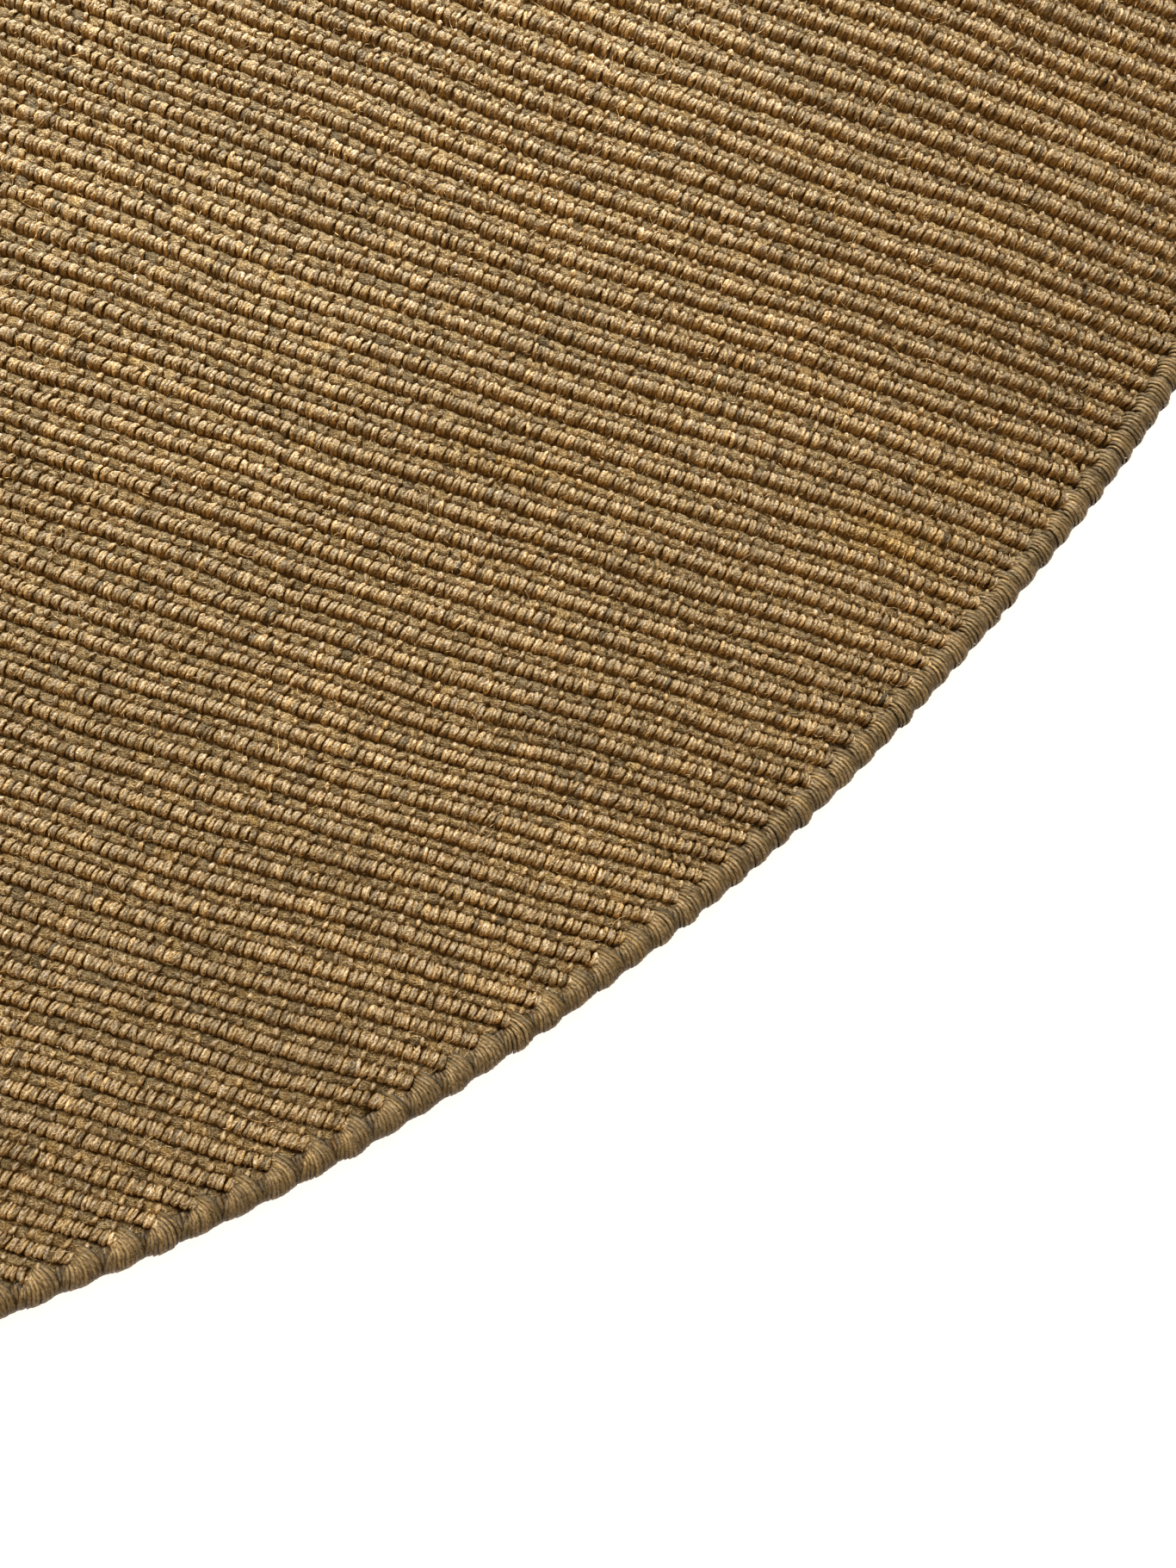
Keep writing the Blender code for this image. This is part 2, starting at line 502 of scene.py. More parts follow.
# How every arched yarn is shaped: how far its arch and its section are bent round, how much
# narrower its ends are, how low its sides lie, and how unevenly it is laid.
ARCH_SQUARES = (2, 4)
ARCH_BEND = math.radians(84)
ARCH_ROUNDNESS = math.radians(78)
ARCH_NARROWING = 0.30
ARCH_TAPER_SPREAD = 0.06
ARCH_SIDE_DROP = 0.00050
ARCH_ROUGH_TOP = 0.00006
ARCH_ROUGH_SIDE = 0.00005
ARCH_STRAY = 0.00017
# Where the separate yarns thin out, they sink towards the ground by up to this much.
SUNK_IN_FADE = 0.0003
# How wide the painted highlight on the ridge is across the yarn and along it, and how far along it lies,
# towards the lit side
HIGHLIGHT_ACROSS = 0.45
HIGHLIGHT_ALONG = 0.66
HIGHLIGHT_AT = 0.24


def patch(across, along):
    """A grid's points, from -1 to 1 both ways, and its faces."""
    shape = bmesh.new()
    bmesh.ops.create_grid(shape, x_segments=across, y_segments=along, size=1.0)
    points, faces = arrays(shape)
    return points[None, :, 0], points[None, :, 1], faces


def painted_highlight_and_shade(t, s):
    """Tones with a painted highlight on a yarn's ridge, towards its lit side, and painted shade down its
    sides and ends.
    """
    ridge = np.exp(-(t / HIGHLIGHT_ACROSS) ** 2 - ((s - HIGHLIGHT_AT) / HIGHLIGHT_ALONG) ** 2)[..., None]
    return PAINTED_SIDE_SHADE + (PAINTED_RIDGE_HIGHLIGHT - PAINTED_SIDE_SHADE) * ridge


def arched(name, random, rib, x_mid, half_width, reach, foot, crest, lean, tone_spread):
    """Yarns arched over the pick at rib (a half for a thin one), as one piece."""
    t, s, faces = patch(*ARCH_SQUARES)
    count, size = len(rib), t.shape[1]
    x_mid, half_width, reach, crest, lean = (v[:, None] for v in (x_mid, half_width, reach, crest, lean))
    rib = rib[:, None]
    angle = s * ARCH_BEND
    tt = np.sin(t * ARCH_ROUNDNESS)
    taper = random.normal(0, ARCH_TAPER_SPREAD, (count, 1))
    width = half_width * (1 - ARCH_NARROWING * s ** 2 + taper * s)
    drop = ARCH_SIDE_DROP * (1 - np.sqrt(1 - tt ** 2)) + random.normal(0, ARCH_ROUGH_TOP, (count, size))
    rise = crest - foot
    slope_y, slope_z = np.sin(angle) * rise, np.cos(angle) * reach
    steep = np.sqrt(slope_y ** 2 + slope_z ** 2)
    y = reach * np.sin(angle) - drop * slope_y / steep
    z = foot + rise * np.cos(angle) - drop * slope_z / steep
    x = width * tt + lean * y + random.normal(0, ARCH_ROUGH_SIDE, (count, size))
    y = y + random.normal(0, ARCH_STRAY, (count, 1))
    px, py = wandered(x_mid + x, rib * RIB_PITCH + y)
    mid_x, mid_y = wandered(x_mid, rib * RIB_PITCH)
    z = z - SUNK_IN_FADE * (1 - detail_share(mid_x, mid_y))
    # A painted highlight on each yarn's ridge and painted shade down its sides and ends
    tones = yarn_tones(random, count, mid_x, mid_y, tone_spread) * painted_highlight_and_shade(t, s)
    uv_across = tt * half_width + random.uniform(0, 1, (count, 1))
    uv_along = angle * reach + random.uniform(0, 1, (count, 1))
    joined(name, np.stack([px, py, z], axis=-1), faces, yarn, tones, uv_across, uv_along)


cells = np.meshgrid(np.arange(*RIB_NUMBERS), np.arange(*PAIR_NUMBERS), indexing="ij")
rib, pair = (numbers.ravel() for numbers in cells)
strand_rib = np.concatenate([rib] * STRANDS_IN_PITCH)
strand_x = np.concatenate([(pair + place) * PAIR_PITCH + side for place in FLOAT_PLACES
                           for side in (-STRAND_OFFSET, STRAND_OFFSET)])
seen_x, seen_y = wandered(strand_x, strand_rib * RIB_PITCH)
thinned = np.random.default_rng(20).uniform(0, 1, len(strand_x))
seen = (np.hypot(seen_x, seen_y) < STRANDS_END) & (detail_share(seen_x, seen_y) > thinned)
strand_rib, strand_x = strand_rib[seen], strand_x[seen]
near = strand_rib < PIECES_PART_AT
warp = np.random.default_rng(21)
for name, part in (("warp_floats_near", near), ("warp_floats_far", ~near)):
    count = int(part.sum())
    arched(
        name, warp, strand_rib[part],
        x_mid=strand_x[part] + warp.normal(0, STRAND_STRAY, count),
        half_width=STRAND_HALF_WIDTH * warp.normal(1, STRAND_WIDTH_SPREAD, count),
        reach=STRAND_REACH * warp.normal(1, STRAND_REACH_SPREAD, count),
        foot=STRAND_FOOT,
        crest=RIB_CREST + warp.normal(0, STRAND_CREST_SPREAD, count),
        lean=STRAND_LEAN + warp.normal(0, STRAND_LEAN_SPREAD, count),
        tone_spread=STRAND_TONE_SPREAD,
    )

# ---------------------------------------------------------------------------
# The binding loops: single thin warp yarns over each thin pick, half way
# between the pairs of floats.
# ---------------------------------------------------------------------------
LOOP_HALF_WIDTH = 0.00082
LOOP_REACH = 0.00170
LOOP_FOOT = 0.0040
LOOP_CREST = 0.0056
LOOP_RISE = 0.0011
LOOP_LEAN = 0.10
LOOP_STRAY = 0.00024
LOOP_WIDTH_SPREAD = 0.12
LOOP_REACH_SPREAD = 0.10
LOOP_CREST_SPREAD = 0.0002
LOOP_LEAN_SPREAD = 0.18
LOOP_TONE_SPREAD = 0.16
ROW_SHIFT = -0.00022
ROWS_END = RUG_RADIUS - 0.0070

# How far the thin picks stand up, where 1 is fully: so much at one place, and less by so much for each
# metre along X and Y from there.
THIN_RISE_X = 0.52
THIN_RISE_Y = -0.42
THIN_RISE_THERE = 0.60
THIN_FALL_X = 1.6
THIN_FALL_Y = 1.3
THIN_RISE_LIMITS = (0.1, 1.2)
# Slow waves in that. Columns as for the cloth's waves, with a share for the size
THIN_RISE_WAVES = (
    (5.0, 4.0, 0.08, 30.0),
    (9.0, -13.0, 0.08, 100.0),
    (0.0, 31.0, 0.10, 10.0),
)
# Places where the thin picks stand up or lie low.
# Columns: x, y and radius of the place in metres, and how much they stand up there
THIN_PLACES = (
    (0.445, -0.300, 0.045, 0.55),
    (0.505, -0.325, 0.030, -0.45),
    (0.605, -0.300, 0.035, 0.35),
    (0.380, -0.240, 0.030, 0.35),
)


def thin_rise(x, y):
    """How far the thin picks stand up beside the thick ones."""
    rise = THIN_RISE_THERE - THIN_FALL_X * (x - THIN_RISE_X) - THIN_FALL_Y * (y - THIN_RISE_Y)
    rise = rise + waves(THIN_RISE_WAVES, x, y)
    for place_x, place_y, radius, extra in THIN_PLACES:
        rise = rise + extra * np.exp(-((x - place_x) ** 2 + (y - place_y) ** 2) / radius ** 2)
    return np.clip(rise, *THIN_RISE_LIMITS)


seen_x, seen_y = wandered((pair + 0.5) * PAIR_PITCH, (rib + 0.5) * RIB_PITCH)
thinned = np.random.default_rng(24).uniform(0, 1, len(seen_x))
seen = (np.hypot(seen_x, seen_y) < ROWS_END) & (detail_share(seen_x, seen_y) > thinned)
rib, pair, seen_x, seen_y = rib[seen], pair[seen], seen_x[seen], seen_y[seen]
count = len(rib)
rise = thin_rise(seen_x, seen_y)
binding = np.random.default_rng(22)
arched(
    "binding_loops", binding, rib + 0.5 + ROW_SHIFT / RIB_PITCH,
    x_mid=pair * PAIR_PITCH + binding.normal(0, LOOP_STRAY, count),
    half_width=LOOP_HALF_WIDTH * binding.normal(1, LOOP_WIDTH_SPREAD, count),
    reach=LOOP_REACH * binding.normal(1, LOOP_REACH_SPREAD, count),
    foot=LOOP_FOOT,
    crest=LOOP_CREST + LOOP_RISE * rise + binding.normal(0, LOOP_CREST_SPREAD, count),
    lean=LOOP_LEAN + binding.normal(0, LOOP_LEAN_SPREAD, count),
    tone_spread=LOOP_TONE_SPREAD,
)

# ---------------------------------------------------------------------------
# The thin picks: one soft, crumpled weft yarn along each thin row, pinched
# under every binding loop.
# ---------------------------------------------------------------------------
PICK_SQUARES = (3, 4)
PICK_HALF_LENGTH = 0.54 * PAIR_PITCH
PICK_HALF_WIDTH = 0.00192
PICK_PINCHED_WIDTH = 0.84
PICK_TOP = 0.0048
PICK_RISE = 0.0010
PICK_DIP = 0.0010
PICK_BEND = math.radians(75)
PICK_ROUNDNESS = math.radians(80)
PICK_ROUND_OFF = 0.0014
PICK_FLATNESS = 0.97
PICK_CRUMPLE = 0.00024
PICK_ROUGH_SIDE = 0.00010
PICK_SLANT = -0.06
PICK_SLANT_SPREAD = 0.12
PICK_TOP_SPREAD = 0.0002
PICK_WIDTH_SPREAD = 0.08
PICK_STRAY_ALONG = 0.0003
PICK_STRAY_ACROSS = 0.00016
# A pick between two loops is dark round its edges as painted shade, and its tone rises by the second value at
# its middle.
PICK_EDGE_TONE = 0.55
PICK_MIDDLE_TONE = 0.95
PICK_MIDDLE_SIZE = 0.6
PICK_TONE_SPREAD = 0.18

row_yarn = jute(
    "thin_row_yarn",
    dark=(0.066, 0.025, 0.002),
    pale=(0.215, 0.130, 0.038),
    hair=(0.560, 0.440, 0.255),
    hairy=0.9,
    streaks=(2300.0, 900.0),
    twist=12.0,
    relief=0.0009,
)
picks = np.random.default_rng(23)
s, t, faces = patch(*PICK_SQUARES)
size = t.shape[1]
tt = np.sin(t * PICK_ROUNDNESS)
arch = np.cos(s * PICK_BEND)
along = s * PICK_HALF_LENGTH
top = PICK_TOP + PICK_RISE * rise[:, None] + picks.normal(0, PICK_TOP_SPREAD, (count, 1))
x = (pair[:, None] + 0.5) * PAIR_PITCH + along + picks.normal(0, PICK_STRAY_ALONG, (count, 1))
width = PICK_HALF_WIDTH * (PICK_PINCHED_WIDTH + (1 - PICK_PINCHED_WIDTH) * arch)
y = tt * width * picks.normal(1, PICK_WIDTH_SPREAD, (count, 1))
y = y + picks.normal(PICK_SLANT, PICK_SLANT_SPREAD, (count, 1)) * along
y = y + picks.normal(ROW_SHIFT, PICK_STRAY_ACROSS, (count, 1))
y = y + picks.normal(0, PICK_ROUGH_SIDE, (count, size))
z = top - PICK_DIP * (1 - arch) - PICK_ROUND_OFF * (1 - np.sqrt(1 - PICK_FLATNESS * tt ** 2))
z = z + picks.normal(0, PICK_CRUMPLE, (count, size))
z = z - SUNK_IN_FADE * (1 - detail_share(seen_x, seen_y)[:, None])
px, py = wandered(x, (rib[:, None] + 0.5) * RIB_PITCH + y)
# Painted shade round the pick's edges, where it dips under the loops and meets the grooves
middle = np.exp(-(t / PICK_MIDDLE_SIZE) ** 2 - (s / PICK_MIDDLE_SIZE) ** 2)
pick_tones = yarn_tones(picks, count, seen_x, seen_y, PICK_TONE_SPREAD)
pick_tones = pick_tones * (PICK_EDGE_TONE + PICK_MIDDLE_TONE * middle)[..., None]
joined("thin_picks", np.stack([px, py, z], axis=-1), faces, row_yarn, pick_tones,
       y + picks.uniform(0, 1, (count, 1)), along + picks.uniform(0, 1, (count, 1)))

# ---------------------------------------------------------------------------
# The overcast edging: finer jute yarn wound over the rim. The wraps start
# along each rib's end, fan out over the rim and meet the next rib's wraps in
# a curved crease, so that the edging stands in soft lobes.
# ---------------------------------------------------------------------------
# Columns: lobes round the rug, height of a lobe in metres, angle of the lobes' phase in degrees
OUTLINE_WAVES = (
    (16, 0.0008, 70.0),
    (24, 0.0006, -30.0),
)
WRAPS = 3490
WRAP_HALF_WIDTH = 0.00080
WRAP_SIDE_DROP = 0.00052
WRAP_ROUNDNESS = math.radians(80)
WRAP_START_WIDTH = 0.86
WRAP_WIDER_IN_CREASE = 0.35
CREASE_SHARPNESS = 6
FLATTER_AT_RIM = 0.75
WRAPS_START = RUG_RADIUS - 0.0092
WRAPS_END_INSET = 0.0003
WRAPS_SLANT = -0.0006
WRAP_STRAY_START = 0.00022
WRAP_STRAY_OUT = 0.00004
WRAP_STRAY_ROUND = 0.00016
WRAP_WIDTH_SPREAD = 0.09
WRAP_DROP_SPREAD = 0.00010
WRAP_TONE_SPREAD = 0.15
MID_HEIGHT = 0.0039
OVER_RISE = 0.0039
UNDER_DROP = 0.0036
# A wrap's turn round the rim, in degrees: 180 is on the cloth, 90 on top, 0 at the rim and -90 below.
TURN_START = 174.0
TURN_END = -140.0
TURN_FULLNESS = 0.8
TURN_RADIUS = 0.0045
# The wraps on this stretch of the rim, round the part that the view shows, have smaller squares.
SEEN_FROM = math.radians(-55.0)
SEEN_TO = math.radians(-14.0)
CLOSE_SQUARES = (4, 14)
REST_SQUARES = (3, 7)

# The lobes: how long one may be where the rim runs along the ribs, where their count is tied to the
# ribs, how their sizes vary (a share and a step), how they bulge, and how they scallop the rim.
LONGEST_LOBE = 0.014
RIM_STEPS = 20000
ANCHOR_ANGLE = -0.6
LOBE_SIZES = ((0.30, 2.4), (0.20, 5.1))
LOBE_FULLNESS = 2.2
LOBE_RISE = 0.0006
LOBE_RISE_FROM = 0.8
SCALLOP = 0.00045
SCALLOP_OUT = 0.3
# Ribs end on at the rim where the cosine of the rim's angle is past the first value and the second.
END_ON = (0.35, 0.65)
# How far a wrap runs along its rib before it bends out over the rim
SHORTEST_RUN = 0.0012
LONGEST_RUN = 1.5 * RIB_PITCH
STRAIGHT_RUN = 0.004

# A wrap has painted shade in the creases, down its sides and towards the rim, and a painted highlight on its
# shoulder.
CREASE_TONE = 0.56
BULGE_TONE = 0.40
SIDE_DARKENING = 0.95
SIDE_SHARPNESS = 1.6
RIM_DARKENING = 0.24
SHOULDER_GLEAM = 0.85
SHOULDER_AT = 0.26
SHOULDER_LENGTH = 0.25
SHOULDER_WIDTH = 0.5


def outline(angle):
    """How far the rug's outline stands outside its mean circle."""
    return sum(height * np.cos(lobes * angle - math.radians(phase)) for lobes, height, phase in OUTLINE_WAVES)


rim_angles = np.linspace(-math.pi, math.pi, RIM_STEPS + 1)
rim_x, rim_y = WRAPS_START * np.cos(rim_angles), WRAPS_START * np.sin(rim_angles)
ribs_there = (rim_y - waves(RIB_WANDER, rim_x, rim_y)) / RIB_PITCH
# The count of lobes grows with the ribs passed, or by one in a longest lobe where the rim runs along them.
arc_step = RUG_RADIUS * (rim_angles[1] - rim_angles[0])
lobe_step = np.maximum(np.abs(np.diff(ribs_there)), arc_step / LONGEST_LOBE)
lobe_count = np.concatenate([[0.0], np.cumsum(lobe_step)])
anchor_rib = np.interp(ANCHOR_ANGLE, rim_angles, ribs_there)
lobe_count += anchor_rib + 0.5 - np.interp(ANCHOR_ANGLE, rim_angles, lobe_count)

EDGING_JUTE = {
    "dark": (0.058, 0.028, 0.006),
    "pale": (0.285, 0.190, 0.085),
    "hair": (0.460, 0.360, 0.220),
    "hairy": 0.60,
    "streaks": (1700.0, 300.0),
    "twist": 16.0,
    "relief": 0.0006,
}
edging = jute("edging_yarn", **EDGING_JUTE)


def wraps(name, random, angles, squares, node=None):
    """Separate wraps of the edging yarn, from the rib ends over the rim and under it."""
    t, s, faces = patch(*squares)
    count = len(angles)
    turn = np.radians(TURN_START + (TURN_END - TURN_START) * (s + 1) / 2)
    share = (1 + np.cos(turn)) / 2

    # Each wrap's place in its lobe, from 0 to 1, and the lobe's size, middle and direction
    lobe = np.interp(angles, rim_angles, lobe_count)[:, None]
    each = np.floor(lobe)
    q = lobe - each
    size = 1 + sum(part * np.sin(each * step) for part, step in LOBE_SIZES)
    bulge = 1 - np.abs(2 * q - 1) ** LOBE_FULLNESS
    middle = np.interp(each + 0.5, lobe_count, rim_angles)
    outwards = np.sign(np.cos(middle))
    end_on = np.clip((np.abs(np.cos(middle)) - END_ON[0]) / (END_ON[1] - END_ON[0]), 0, 1)

    # The wrap's start, bend and end in plan, and the smooth curve through them
    leg_x = -np.sin(middle) * LONGEST_LOBE * (1 - end_on)
    leg_y = np.cos(middle) * LONGEST_LOBE * (1 - end_on) + outwards * RIB_PITCH * end_on
    jitter = random.normal(0, WRAP_STRAY_START, (count, 1))
    start_x = (WRAPS_START + outline(middle)) * np.cos(middle) + (q - 0.5) * leg_x + jitter
    start_y = (WRAPS_START + outline(middle)) * np.sin(middle) + (q - 0.5) * leg_y
    deep = 0.5 * np.abs(np.sin(middle)) - (q - 0.5) * np.sin(middle) * outwards
    run = SHORTEST_RUN + LONGEST_RUN * deep
    bend_x = start_x + outwards * run * end_on + STRAIGHT_RUN * np.cos(middle) * (1 - end_on)
    bend_y = start_y + STRAIGHT_RUN * np.sin(middle) * (1 - end_on)
    scallop = SCALLOP * size * (SCALLOP_OUT - np.cos(2 * math.pi * q))
    edge = RUG_RADIUS + outline(angles)[:, None] + scallop - WRAPS_END_INSET
    edge = edge + random.normal(0, WRAP_STRAY_OUT, (count, 1))
    end_angle = angles[:, None] + random.normal(WRAPS_SLANT, WRAP_STRAY_ROUND, (count, 1)) / RUG_RADIUS
    end_x, end_y = edge * np.cos(end_angle), edge * np.sin(end_angle)
    plan_x = (1 - share) ** 2 * start_x + 2 * share * (1 - share) * bend_x + share ** 2 * end_x
    plan_y = (1 - share) ** 2 * start_y + 2 * share * (1 - share) * bend_y + share ** 2 * end_y

    # Its heading in plan, which turns straight out at the rim
    along_x = (1 - share) * (bend_x - start_x) + share * (end_x - bend_x)
    along_y = (1 - share) * (bend_y - start_y) + share * (end_y - bend_y)
    steady = np.hypot(along_x, along_y)
    at_rim = share ** 2
    along_x = (1 - at_rim) * along_x / steady + at_rim * np.cos(end_angle)
    along_y = (1 - at_rim) * along_y / steady + at_rim * np.sin(end_angle)
    steady = np.hypot(along_x, along_y)
    along_x, along_y = along_x / steady, along_y / steady

    # Its rounded section, laid across that heading
    tt = np.sin(t * WRAP_ROUNDNESS)
    half = WRAP_HALF_WIDTH * (WRAP_START_WIDTH + (1 - WRAP_START_WIDTH) * share)
    half = half * random.normal(1, WRAP_WIDTH_SPREAD, (count, 1))
    half = half * (1 + WRAP_WIDER_IN_CREASE * (2 * q - 1) ** CREASE_SHARPNESS)
    drop = WRAP_SIDE_DROP * (1 - np.sqrt(1 - tt ** 2)) + random.normal(0, WRAP_DROP_SPREAD, (count, 1))
    drop = drop * (1 - FLATTER_AT_RIM * share ** 3)
    x = plan_x - along_y * tt * half - along_x * drop * np.cos(turn)
    y = plan_y + along_x * tt * half - along_y * drop * np.cos(turn)
    over = np.abs(np.sin(turn)) ** TURN_FULLNESS
    rise = OVER_RISE + LOBE_RISE * size * (bulge - LOBE_RISE_FROM)
    z = MID_HEIGHT + np.where(turn > 0, (rise - drop) * over, -(UNDER_DROP - drop) * over)

    rim_at = RUG_RADIUS * np.cos(angles), RUG_RADIUS * np.sin(angles)
    tones = yarn_tones(random, count, *rim_at, WRAP_TONE_SPREAD)
    # Painted shade in the lobes' creases, down each wrap's sides and towards the rim, and a painted highlight
    # on its shoulder
    shade = (CREASE_TONE + BULGE_TONE * bulge) * (1 - SIDE_DARKENING * np.abs(t) ** SIDE_SHARPNESS)
    shade = shade * (1 - RIM_DARKENING * share ** 2)
    shoulder = np.exp(-((share - SHOULDER_AT) / SHOULDER_LENGTH) ** 2 - (t / SHOULDER_WIDTH) ** 2)
    tones = tones * shade[..., None] * (1 + SHOULDER_GLEAM * shoulder)[..., None]
    uv_across = tt * half + random.uniform(0, 1, (count, 1))
    uv_along = -turn * TURN_RADIUS + random.uniform(0, 1, (count, 1))
    return joined(name, np.stack([x, y, z], axis=-1), faces[:, ::-1], edging, tones,
                  uv_across, uv_along, node)


winding = np.random.default_rng(31)
wrap_angles = -math.pi + (np.arange(WRAPS) + 0.5) * 2 * math.pi / WRAPS
close = (wrap_angles > SEEN_FROM) & (wrap_angles < SEEN_TO)
wraps_close = wraps("edging_wraps_close", winding, wrap_angles[close], CLOSE_SQUARES, "overcast_edging")
wraps_rest = wraps("edging_wraps_rest", winding, wrap_angles[~close], REST_SQUARES)

# The cord that the wraps are wound over, darkened as painted shade, with wraps painted on it where it shows
# between them
CORE_HALF_WIDTH = 0.0036
CORE_HALF_HEIGHT = 0.0030
CORE_RADIUS = RUG_RADIUS - 0.0047
CORE_HEIGHT = MID_HEIGHT - 0.0002
CORE_SIDES = 12
CORE_STEPS = 288
SAME_POINT = 0.00002
CORE_SHADE = 0.50
CORE_BEAD_DROP = 0.0006
CORE_BEAD_BRIGHTNESS = 0.8

shape = bmesh.new()
bmesh.ops.create_circle(shape, segments=CORE_SIDES, radius=1.0)
bmesh.ops.scale(shape, verts=shape.verts, vec=(CORE_HALF_WIDTH, CORE_HALF_HEIGHT, 1.0))
bmesh.ops.rotate(shape, verts=shape.verts, matrix=Matrix.Rotation(math.pi / 2, 3, "X"))
bmesh.ops.translate(shape, verts=shape.verts, vec=(CORE_RADIUS, 0.0, CORE_HEIGHT))
bmesh.ops.spin(shape, geom=shape.verts[:] + shape.edges[:], axis=(0, 0, 1), cent=(0, 0, 0),
               angle=2 * math.pi, steps=CORE_STEPS, use_merge=True)
bmesh.ops.remove_doubles(shape, verts=shape.verts, dist=SAME_POINT)
bmesh.ops.recalc_face_normals(shape, faces=shape.faces)
ring, ring_faces = arrays(shape)
ring_angle = np.arctan2(ring[:, 1], ring[:, 0])
ring[:, :2] *= (1 + outline(ring_angle) / np.hypot(ring[:, 0], ring[:, 1]))[:, None]
core_yarn = jute("core_yarn", **EDGING_JUTE)
beaded(core_yarn, 2 * math.pi * RUG_RADIUS / WRAPS, CORE_BEAD_DROP, CORE_BEAD_BRIGHTNESS)
core = joined("edging_core", ring[None], ring_faces, core_yarn, np.full((1, len(ring), 3), CORE_SHADE),
              (ring_angle * RUG_RADIUS)[None], ring[None, :, 2])

# ---------------------------------------------------------------------------
# The loose fibres: broken ends of jute that stand out of the yarns, short
# ones all over the detailed part and some long, curled ones.
# ---------------------------------------------------------------------------
SHORT_FIBRES = 26000
LONG_FIBRES = 1800
SPINDLE_SIDES = 3
# The fibres are strewn over this stretch of the cloth, and those off the detailed part are dropped.
STREWN_X = (0.33, 0.76)
STREWN_Y = (-0.66, -0.08)
STREWN_FOR_EACH = 4
FIBRES_END = RUG_RADIUS - 0.010
IN_THIN_ROWS = 0.5
ROW_SCATTER = 0.14
FLOAT_HEADING = 1.35
HEADING_SPREAD = 0.55
FOLLOWS_SURFACE = 0.6
FIBRE_TONE_SPREAD = 0.45
# The yarns' tops, as rounds over each thick pick and each thin one
THICK_HALF_WIDTH = 0.0026
THIN_HALF_WIDTH = 0.0018
THIN_HEIGHT = 0.0011


def surface(x, y):
    """The height of the yarns' tops at a place on the even lattice."""
    repeat = y / RIB_PITCH
    from_thick = np.abs(repeat - np.rint(repeat)) * RIB_PITCH
    from_thin = RIB_PITCH / 2 - from_thick
    thick = np.sqrt(np.clip(1 - (from_thick / THICK_HALF_WIDTH) ** 2, 0, 1)) * (RIB_CREST - FACE_GROOVE)
    thin = np.sqrt(np.clip(1 - (from_thin / THIN_HALF_WIDTH) ** 2, 0, 1)) * THIN_HEIGHT
    return FACE_GROOVE + np.maximum(thick, thin)


def fibres(name, random, wanted, rings, lengths, thicknesses, lift, curl, bright):
    """Spindles lying on the yarns, half of them along the thin rows and half along the floats."""
    shape = bmesh.new()
    bmesh.ops.create_uvsphere(shape, u_segments=SPINDLE_SIDES, v_segments=rings, radius=1.0)
    bmesh.ops.triangulate(shape, faces=shape.faces)
    spindle, faces = arrays(shape)
    x = random.uniform(*STREWN_X, STREWN_FOR_EACH * wanted)
    y = random.uniform(*STREWN_Y, STREWN_FOR_EACH * wanted)
    inside = (np.hypot(x, y) < FIBRES_END) & (detail_share(x, y) > random.uniform(0, 1, len(x)))
    x, y = x[inside][:wanted], y[inside][:wanted]
    count = len(x)
    in_row = random.uniform(0, 1, count) < IN_THIN_ROWS
    row_y = (np.rint(y / RIB_PITCH - 0.5) + 0.5 + random.normal(0, ROW_SCATTER, count)) * RIB_PITCH
    y = np.where(in_row, row_y, y)
    heading = (np.where(in_row, 0.0, FLOAT_HEADING) + random.normal(0, HEADING_SPREAD, count))[:, None]
    length = random.uniform(*lengths, (count, 1))
    thick = random.uniform(*thicknesses, (count, 1))
    bow = curl * random.normal(0, 1.0, (count, 1))
    run = spindle[None, :, 2] * length
    side = bow * spindle[None, :, 2] ** 2 * length + spindle[None, :, 1] * thick
    across_x = x[:, None] + run * np.cos(heading) - side * np.sin(heading)
    across_y = y[:, None] + run * np.sin(heading) + side * np.cos(heading)
    under = surface(across_x, across_y)
    z = FOLLOWS_SURFACE * under + (1 - FOLLOWS_SURFACE) * under.mean(axis=1, keepdims=True)
    z = z + random.uniform(0, lift, (count, 1))
    z = z + random.normal(0, lift / 3, (count, 1)) * spindle[None, :, 2] + spindle[None, :, 0] * thick
    px, py = wandered(across_x, across_y)
    tones = yarn_tones(random, count, x, y, FIBRE_TONE_SPREAD) * bright * np.ones((1, len(spindle), 1))
    uv_across = side + random.uniform(0, 1, (count, 1))
    joined(name, np.stack([px, py, z], axis=-1), faces, yarn, tones, uv_across, run)


# The fibres are paler than the yarns, partly as loose fibre and partly as painted glints: the last value
# below
loose = np.random.default_rng(41)
fibres("short_fibres", loose, SHORT_FIBRES, rings=2, lengths=(0.0005, 0.0017), thicknesses=(0.00007, 0.00013),
       lift=0.00030, curl=0.0, bright=1.9)
fibres("long_fibres", loose, LONG_FIBRES, rings=5, lengths=(0.0015, 0.0045), thicknesses=(0.00006, 0.00009),
       lift=0.00060, curl=0.5, bright=2.1)

# ---------------------------------------------------------------------------
# The floor and the light: a plain pale floor, a wide soft lamp, a soft pool of
# light right of the rug's middle, and a room that fills the shadows warmly and
# is itself seen as plain white.
# ---------------------------------------------------------------------------
FLOOR_HALF_WIDTH = 6.0
FLOOR_COLOUR = (0.9, 0.9, 0.9, 1.0)
FLOOR_GLOW = 0.82
ROOM_COLOUR = (1.0, 0.72, 0.38, 1.0)
ROOM_STRENGTH = 0.53
WHITE = (1.0, 1.0, 1.0, 1.0)

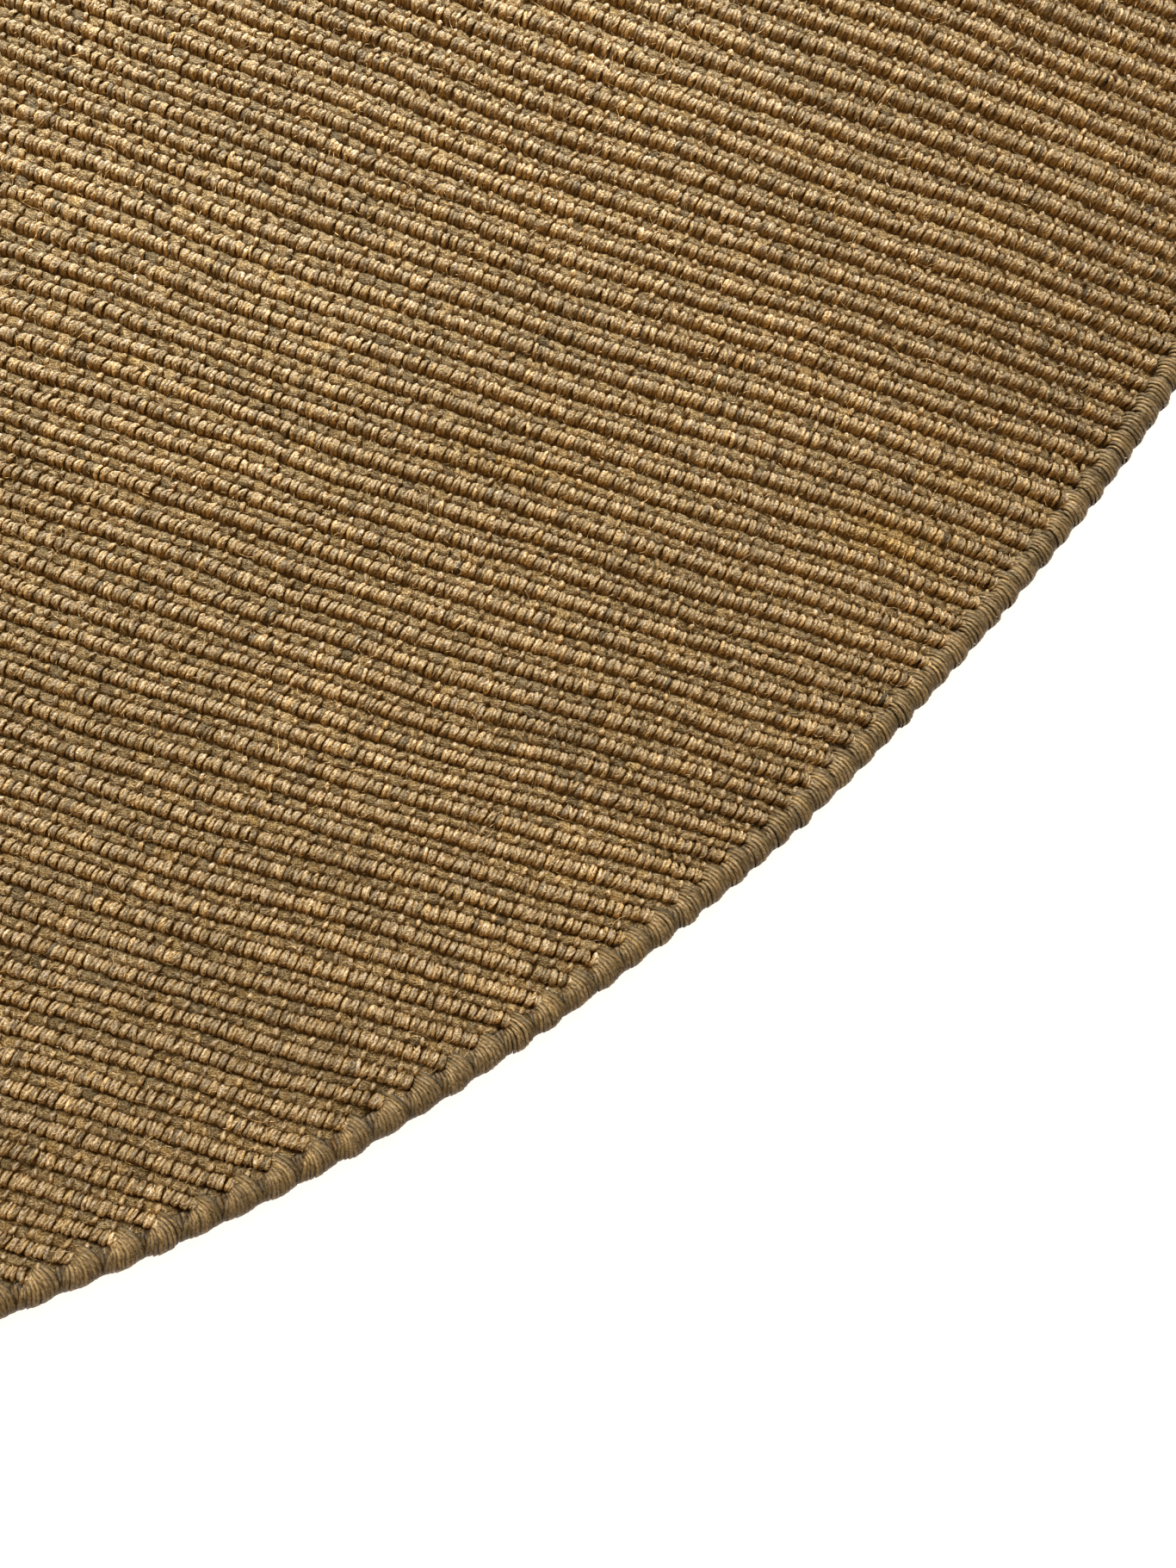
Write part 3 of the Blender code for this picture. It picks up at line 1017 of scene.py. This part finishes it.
shape = bmesh.new()
bmesh.ops.create_grid(shape, x_segments=1, y_segments=1, size=FLOOR_HALF_WIDTH)
floor_mesh = bpy.data.meshes.new("floor")
shape.to_mesh(floor_mesh)
shape.free()
floor_finish = bpy.data.materials.new("floor")
floor_finish.use_nodes = True
floor_shader = floor_finish.node_tree.nodes["Principled BSDF"]
floor_shader.inputs["Base Color"].default_value = FLOOR_COLOUR
floor_shader.inputs["Roughness"].default_value = 1.0
floor_shader.inputs["Emission Color"].default_value = WHITE
floor_shader.inputs["Emission Strength"].default_value = FLOOR_GLOW
floor_mesh.materials.append(floor_finish)
floor = bpy.data.objects.new("floor", floor_mesh)
bpy.context.scene.collection.objects.link(floor)

room = bpy.data.worlds.new("room")
bpy.context.scene.world = room
room.use_nodes = True
room_glow = room.node_tree.nodes["Background"]
room_glow.inputs["Color"].default_value = ROOM_COLOUR
room_glow.inputs["Strength"].default_value = ROOM_STRENGTH
wall = added(room.node_tree, "ShaderNodeBackground", {"Color": WHITE})
looked_at = added(room.node_tree, "ShaderNodeLightPath", {})
room_seen = added(room.node_tree, "ShaderNodeMixShader", {
    0: looked_at.outputs["Is Camera Ray"],
    1: room_glow.outputs["Background"],
    2: wall.outputs["Background"],
})
room_output = room.node_tree.nodes["World Output"]
room.node_tree.links.new(room_seen.outputs["Shader"], room_output.inputs["Surface"])


def light(name, kind, energy, colour, place, aim):
    """A light at a place, aimed at a point."""
    lit = bpy.data.objects.new(name, bpy.data.lights.new(name, kind))
    lit.data.energy = energy
    lit.data.color = colour
    lit.location = place
    lit.rotation_euler = (Vector(aim) - Vector(place)).to_track_quat("-Z", "Y").to_euler()
    bpy.context.scene.collection.objects.link(lit)
    return lit.data


lamp = light("lamp", "AREA", energy=84, colour=(0.98, 1.0, 0.97),
             place=(-0.69, 1.97, 2.25), aim=(0.5, -0.3, 0.0))
lamp.size = 1.8
pool = light("pool", "SPOT", energy=1800, colour=(0.96, 1.0, 0.95),
             place=(-0.409, 2.043, 1.945), aim=(0.28, 0.15, 0.0))
pool.shadow_soft_size = 0.35
pool.spot_size = math.radians(15)
pool.spot_blend = 1.0
bpy.context.scene.view_settings.view_transform = "Standard"
